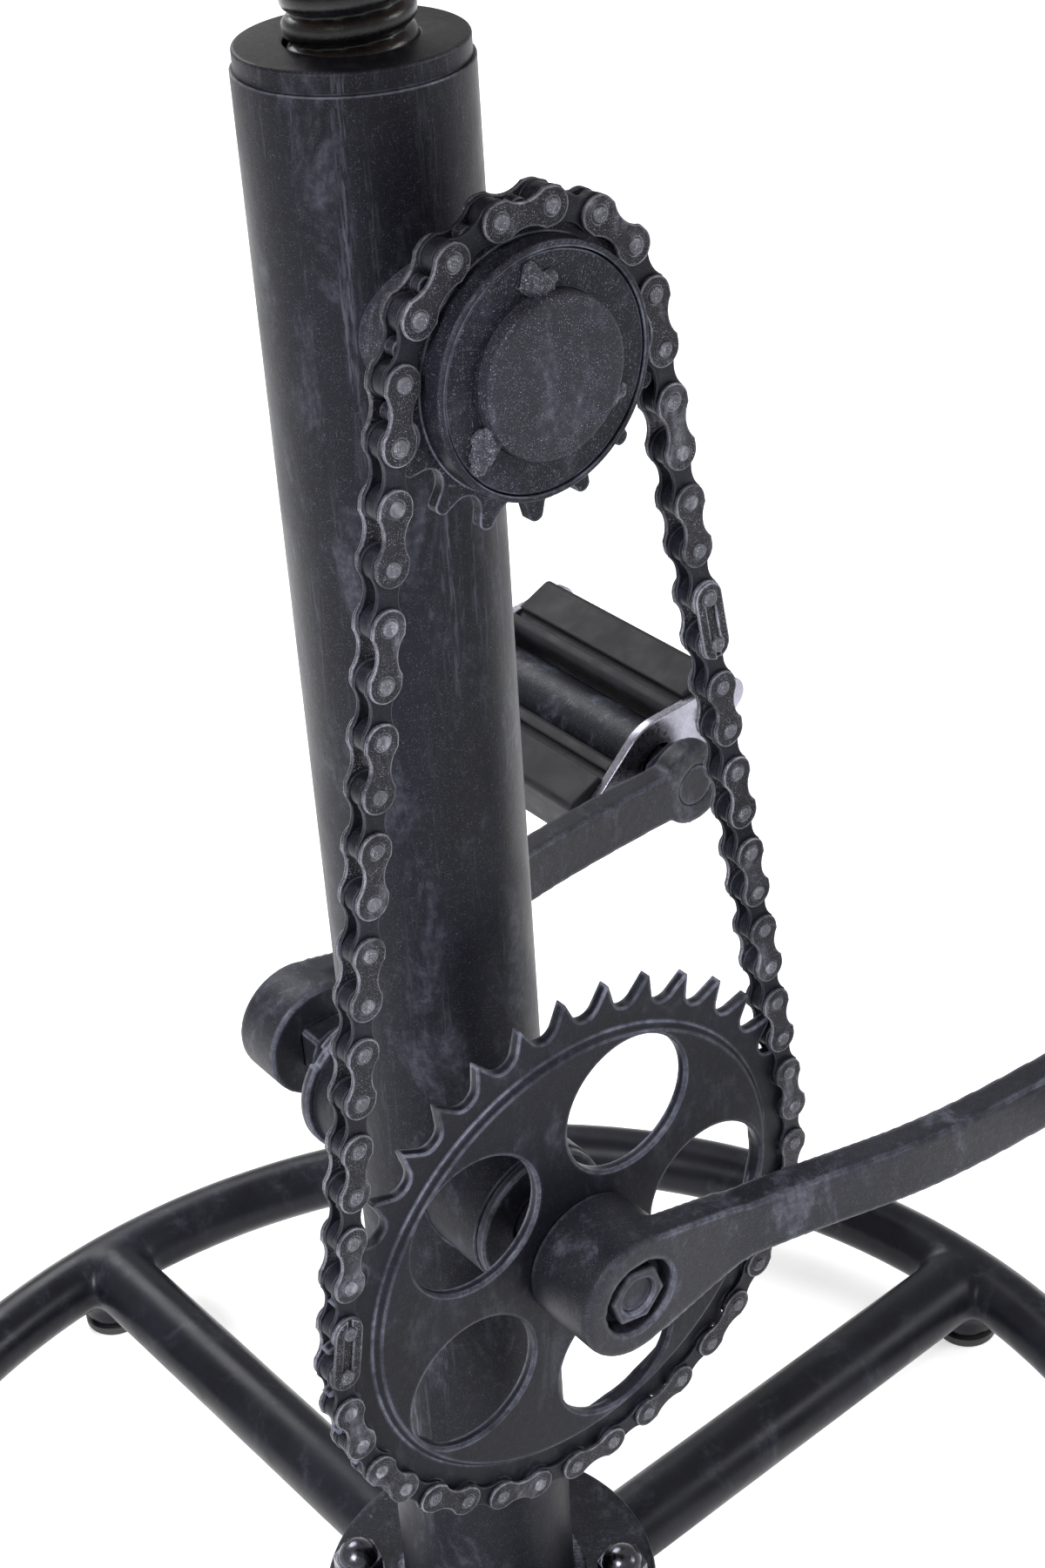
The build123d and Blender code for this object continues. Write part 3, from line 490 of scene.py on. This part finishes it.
def seat_screw():
    """The seat spindle with its real helix: a coarse round thread, right-handed."""
    low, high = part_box("seat_spindle")
    crest, depth, pitch = high[0], 0.0019, 0.006
    foot_r, foot_top, foot_chamfer = 0.008, low[2] + 0.018, 0.001
    around, step = 96, 0.0004
    rows = []
    bm = bmesh.new()
    profile = [(0.0005, low[2]), (foot_r - foot_chamfer, low[2]),
               (foot_r, low[2] + foot_chamfer), (foot_r, foot_top - 0.0002)]
    for radius, z in profile:
        rows.append(circle(bm, radius, z, around))
    count = int((high[2] - foot_top) / step)
    for i in range(count + 1):
        z = foot_top + (high[2] - foot_top) * i / count
        ring = []
        for k in range(around):
            turn = 2 * math.pi * k / around
            phase = z / pitch - k / around
            groove = (1 - abs(math.sin(math.pi * phase))) ** 1.5
            fade = min(1.0, (z - foot_top) / pitch)
            spot = Vector((60 * math.cos(turn), 60 * math.sin(turn), z * 4000)) / 14
            rough = 0.00007 * noise.noise(spot)
            radius = crest - depth * (1 - fade * (1 - groove)) - abs(rough)
            ring.append(bm.verts.new((radius * math.cos(turn), radius * math.sin(turn), z)))
        rows.append(ring)
    for lower, upper in zip(rows, rows[1:]):
        for k in range(around):
            after = (k + 1) % around
            bm.faces.new((lower[k], lower[after], upper[after], upper[k]))
    bm.faces.new(list(reversed(rows[0])))
    bm.faces.new(rows[-1])
    piece = add_object("seat_screw_thread", mesh_from(bm, "seat_screw_thread"), "thread", 60.0)
    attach(piece, "seat")
    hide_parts("seat_spindle")


def lathe(bm, profile):
    """Turns (radius, z) points round the Z axis; the first and last points lie on it."""
    around = 160
    first = bm.verts.new((0, 0, profile[0][1]))
    last = bm.verts.new((0, 0, profile[-1][1]))
    rings = [circle(bm, r, z, around) for r, z in profile[1:-1]]
    for k in range(around):
        after = (k + 1) % around
        bm.faces.new((first, rings[0][after], rings[0][k]))
        bm.faces.new((last, rings[-1][k], rings[-1][after]))
        for lower, upper in zip(rings, rings[1:]):
            bm.faces.new((lower[k], lower[after], upper[after], upper[k]))


def hoop(name, radius, height, size):
    """Sewn piping round the cushion."""
    bpy.ops.mesh.primitive_torus_add(major_radius=radius, minor_radius=size, major_segments=220,
                                     minor_segments=14, location=(0, 0, height))
    piece = bpy.context.object
    piece.name = piece.data.name = name
    for vert in piece.data.vertices:
        turn = math.atan2(vert.co.y, vert.co.x)
        vert.co.z += 0.0003 * math.sin(9 * turn) + 0.0002 * math.sin(23 * turn + 1)
        vert.co.z += height
    piece.location = (0, 0, 0)
    dress(piece.data, "leather")
    piece.data.shade_smooth()
    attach(piece, "seat")


def padded_seat():
    """Round cushion, blown up from its cover by a short cloth simulation, with piping."""
    low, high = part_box("seat_cushion")
    radius, bottom, top = high[0] - 0.005, low[2], high[2]
    seam_r, seam_z = radius - 0.008, top - 0.021
    held_reach, most_swell = 0.005, 0.009
    bm = bmesh.new()
    lathe(bm, [(0, bottom), (radius - 0.012, bottom), (radius - 0.003, bottom + 0.004),
               (radius - 0.001, bottom + 0.02), (radius - 0.003, seam_z - 0.01),
               (seam_r, seam_z), (radius - 0.03, top - 0.0125), (radius - 0.075, top - 0.0075),
               (radius - 0.12, top - 0.005), (0, top - 0.004)])
    pad = add_object("seat_pad", mesh_from(bm, "seat_pad"), "leather")
    remesh = pad.modifiers.new("cells", "REMESH")
    remesh.mode = "VOXEL"
    remesh.voxel_size = 0.005
    bake(pad)
    start = [vert.co.copy() for vert in pad.data.vertices]
    group = pad.vertex_groups.new(name="held")
    for vert in pad.data.vertices:
        reach = math.hypot(vert.co.x, vert.co.y)
        near_seam = math.hypot(reach - seam_r, vert.co.z - seam_z) < held_reach
        if near_seam or vert.co.z < bottom + 0.004:
            group.add([vert.index], 1.0, "REPLACE")
    cloth = pad.modifiers.new("cover", "CLOTH")
    cloth.settings.use_pressure = True
    cloth.settings.uniform_pressure_force = 4.0
    cloth.settings.vertex_group_mass = "held"
    cloth.settings.effector_weights.gravity = 0.0
    cloth.settings.quality = 6
    scene = bpy.context.scene
    last_step = 20
    for step in range(1, last_step + 1):
        scene.frame_set(step)
    bake(pad)
    scene.frame_set(1)
    for vert, home in zip(pad.data.vertices, start):
        move = vert.co - home
        if move.length > most_swell:
            vert.co = home + move.normalized() * most_swell
        vert.co.z = min(vert.co.z, top)
    smooth = pad.modifiers.new("smooth", "SMOOTH")
    smooth.iterations = 4
    finer = pad.modifiers.new("finer", "SUBSURF")
    finer.levels = finer.render_levels = 1
    bake(pad)
    dress(pad.data, "leather")
    pad.data.shade_smooth()
    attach(pad, "seat")
    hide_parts("seat_cushion")
    hoop("seat_top_piping", seam_r + 0.0012, seam_z + 0.0008, 0.0036)
    hoop("seat_bottom_piping", radius - 0.0045, bottom + 0.0036, 0.0034)


# ---------------------------------------------------------------- base and post

softened("base_weldment", "tube", 0.0016, 14, "base_ring", "base_spoke_front", "base_spoke_rear",
         "base_spoke_left", "base_spoke_right", "foot_stubs")
eased("base_hub_sleeve", "tube", 0.0006, "base_hub")
eased("hub_plate_disc", "tube", 0.0008, "hub_plate")
eased("post_flange_disc", "post", 0.0006, "post_flange")
eased("post_column", "post", 0.0005, "post_tube", 3)
eased("post_collar", "post", 0.0005, "post_nut", 3)
eased("hub_cap_nuts", "bolt", 0.0003, "cap_nuts")
eased("hub_bolts", "bolt", 0.0004, "flange_bolts")
eased("hub_washers", "bolt", 0.0002, "flange_washers")
eased("bracket_sleeve", "post", 0.0004, "bracket_shell")
eased("bracket_cup_pair", "cast", 0.0005, "bracket_cups")
eased("bracket_ring_nut", "cast", 0.0004, "bracket_lock_ring")
paint("glide", "floor_glides")
paint("ball", "bracket_balls", "freewheel_balls", "pedal_balls")

# ---------------------------------------------------------------- drive

softened("front_crank_arm", "cast", 0.0007, 6, "front_crank")
softened("rear_crank_arm", "cast", 0.0007, 6, "rear_crank")
eased("chainring_plate", "ring", 0.0003, "chainring")
eased("axle_hex_nuts", "cast", 0.0005, "axle_nuts")
paint("cast", "axle_washers", "crank_axle")
eased("chain_outer_links", "chain", 0.00022, "chain_outer_plates")
eased("chain_inner_links", "roller", 0.00022, "chain_inner_plates")
eased("chain_pin_heads", "pin", 0.0005, "chain_pins")
eased("chain_roller_set", "roller", 0.0002, "chain_rollers")
paint("roller", "chain_bushings")
eased("chain_spring_clips", "chain", 0.00015, "chain_clips")
eased("freewheel_body", "hub", 0.0003, "freewheel_sprocket")
eased("freewheel_face_ring", "hub", 0.0003, "freewheel_cone")
eased("stub_axle_bar", "cap", 0.0003, "stub_axle")
paint("hub", "freewheel_inner", "freewheel_pawls")
tack_welds()

# The bead is sunk a little into the corner between the post and its flange
_, flange_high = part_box("post_flange")
_, post_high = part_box("post_tube")
bead_size = 0.0026
weld_bead("post_foot_weld", post_high[0] + 0.0008, flange_high[2] + 0.0006, bead_size)

# ---------------------------------------------------------------- pedals

for side in ("front", "rear"):
    eased(f"{side}_pedal_rubbers", "rubber", 0.0005, f"{side}_pedal_treads")
    eased(f"{side}_pedal_side_plate_in", "steel", 0.0004, f"{side}_pedal_inner_plate")
    eased(f"{side}_pedal_side_plate_out", "steel", 0.0004, f"{side}_pedal_outer_plate")
    eased(f"{side}_pedal_through_bolts", "steel", 0.0003, f"{side}_pedal_bolts")
    eased(f"{side}_pedal_axle", "cast", 0.0004, f"{side}_pedal_spindle")
    eased(f"{side}_pedal_end_cap", "bolt", 0.0003, f"{side}_pedal_dust_cap")
    paint("cast", f"{side}_pedal_barrel")

# ---------------------------------------------------------------- seat

paint("bolt", "guide_clip")
paint("guide", "spindle_guide")
eased("seat_flange_plate", "cast", 0.0005, "seat_flange")
eased("seat_wood_screws", "bolt", 0.0003, "seat_screws")
eased("seat_plywood_pan", "plywood", 0.001, "seat_pan")
seat_screw()
padded_seat()

# ---------------------------------------------------------------- stage, light and camera


def stage_floor():
    """A plain white floor, faintly lit from within so that it stays white under soft light."""
    bm = bmesh.new()
    bmesh.ops.create_grid(bm, x_segments=8, y_segments=8, size=30.0)
    mesh = mesh_from(bm, "floor")
    s = Shader("floor_white")
    s.surface.inputs["Base Color"].default_value = (0.95, 0.95, 0.95, 1.0)
    s.surface.inputs["Roughness"].default_value = 0.9
    s.surface.inputs["Emission Color"].default_value = (1.0, 1.0, 1.0, 1.0)
    s.surface.inputs["Emission Strength"].default_value = 0.5
    floor = bpy.data.objects.new("floor", mesh)
    mesh.materials.append(s.material)
    bpy.context.scene.collection.objects.link(floor)


def soft_light(name, spot, aim, size, power):
    """A round area light at spot that points at aim."""
    data = bpy.data.lights.new(name, "AREA")
    data.shape = "DISK"
    data.size = size
    data.energy = power
    lamp = bpy.data.objects.new(name, data)
    lamp.location = spot
    lamp.rotation_euler = (Vector(aim) - Vector(spot)).to_track_quat("-Z", "Y").to_euler()
    bpy.context.scene.collection.objects.link(lamp)


def set_camera():
    """The photograph's viewing angle: azimuth from the front, elevation and a slight roll."""
    azimuth, elevation, roll = math.radians(-36.54), math.radians(32.45), math.radians(-3.69)
    back = Vector((math.sin(azimuth) * math.cos(elevation),
                   -math.cos(azimuth) * math.cos(elevation), math.sin(elevation)))
    right = Vector((math.cos(azimuth), math.sin(azimuth), 0.0))
    up = back.cross(right)
    tilted_right = math.cos(roll) * right + math.sin(roll) * up
    tilted_up = math.cos(roll) * up - math.sin(roll) * right
    data = bpy.data.cameras.new("camera")
    data.sensor_fit = "VERTICAL"
    data.sensor_height = 36.0
    data.lens = 57.3
    data.clip_start = 0.01
    camera = bpy.data.objects.new("camera", data)
    axes = Matrix((tilted_right, tilted_up, back)).transposed().to_4x4()
    camera.matrix_world = Matrix.Translation((-0.2831, -0.4240, 0.6545)) @ axes
    bpy.context.scene.collection.objects.link(camera)
    bpy.context.scene.camera = camera


stage_floor()
world = bpy.data.worlds.new("studio")
world.use_nodes = True
world.node_tree.nodes["Background"].inputs["Color"].default_value = (1.0, 1.0, 1.0, 1.0)
world.node_tree.nodes["Background"].inputs["Strength"].default_value = 0.55
bpy.context.scene.world = world
bpy.context.scene.view_settings.view_transform = "Standard"
# name, position, what it points at, diameter in metres, watts
soft_light("key", (-1.5, -0.6, 1.9), (0.0, 0.0, 0.4), 0.9, 52.0)
soft_light("side", (1.6, -1.4, 1.2), (0.0, 0.0, 0.35), 0.8, 14.0)
soft_light("back", (0.3, 1.8, 1.6), (0.0, 0.0, 0.3), 1.2, 30.0)
set_camera()
